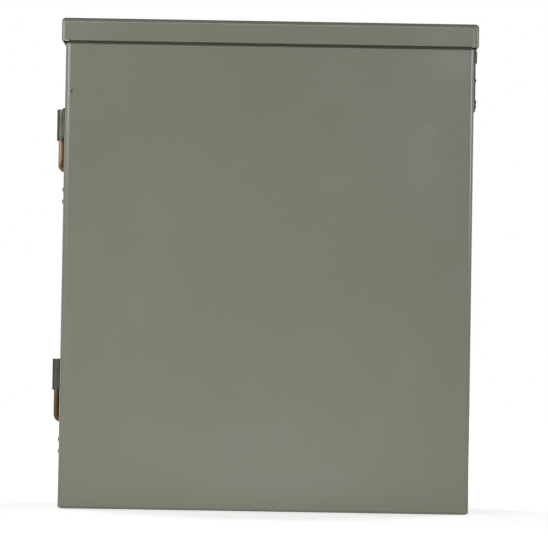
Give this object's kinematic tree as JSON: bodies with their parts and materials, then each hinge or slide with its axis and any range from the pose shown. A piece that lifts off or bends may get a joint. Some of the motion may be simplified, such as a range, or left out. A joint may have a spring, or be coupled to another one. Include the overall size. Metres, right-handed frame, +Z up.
{
  "type": "roadside utility cabinet",
  "caption": "Grey-green sheet-metal roadside utility cabinet with a drip hood, a flanged door on copper-coloured lift-off pin hinges, a side latch and an inner mounting panel.",
  "frame": {"origin": "centre of the base, on its underside", "axes": "+Z up; +Y to the back wall; +X to the right as seen from the front, so the door's hinges are on the -X side"},
  "size_m": [0.5261, 0.225, 0.61],
  "materials": {
    "paint": "semi-matt grey-green powder coat",
    "panel_paint": "pale grey paint",
    "zinc": "zinc-plated steel",
    "copper": "copper-plated steel, dulled",
    "dark_steel": "dark worn paint on steel",
    "rubber": "matt black rubber"
  },
  "bodies": {
    "cabinet": {"body_wrap": "paint", "top_panel": "paint", "bottom_pan": "paint", "drip_hood": "paint", "mounting_panel": "panel_paint", "panel_studs": "zinc", "panel_nuts": "zinc", "ground_stud": "copper", "ground_nut": "copper", "upper_hinge_pin": "copper", "lower_hinge_pin": "copper", "upper_pin_bracket": "paint", "lower_pin_bracket": "paint", "pin_bracket_rivets": "dark_steel", "strike_plate": "zinc"},
    "door": {"door_panel": "paint", "door_stiffener": "paint", "door_bumpers": "rubber", "upper_hinge_knuckle": "dark_steel", "lower_hinge_knuckle": "dark_steel", "hinge_leaf_rivets": "dark_steel", "latch_plate": "dark_steel", "latch_plate_rivets": "dark_steel"},
    "latch": {"latch_spindle": "zinc", "latch_ring": "zinc", "latch_cam": "zinc", "latch_nut": "zinc"}
  },
  "joints": [
    {"name": "door_hinge", "type": "hinge", "parent": "cabinet", "child": "door", "pos_m": [-0.26056, -0.0725, 0.3], "axis": [0, 0, -1], "range_deg": [0, 180]},
    {"name": "latch_turn", "type": "hinge", "parent": "door", "child": "latch", "pos_m": [0.25, -0.093, 0.5113], "axis": [1, 0, 0], "range_deg": [0, 90]}
  ]
}
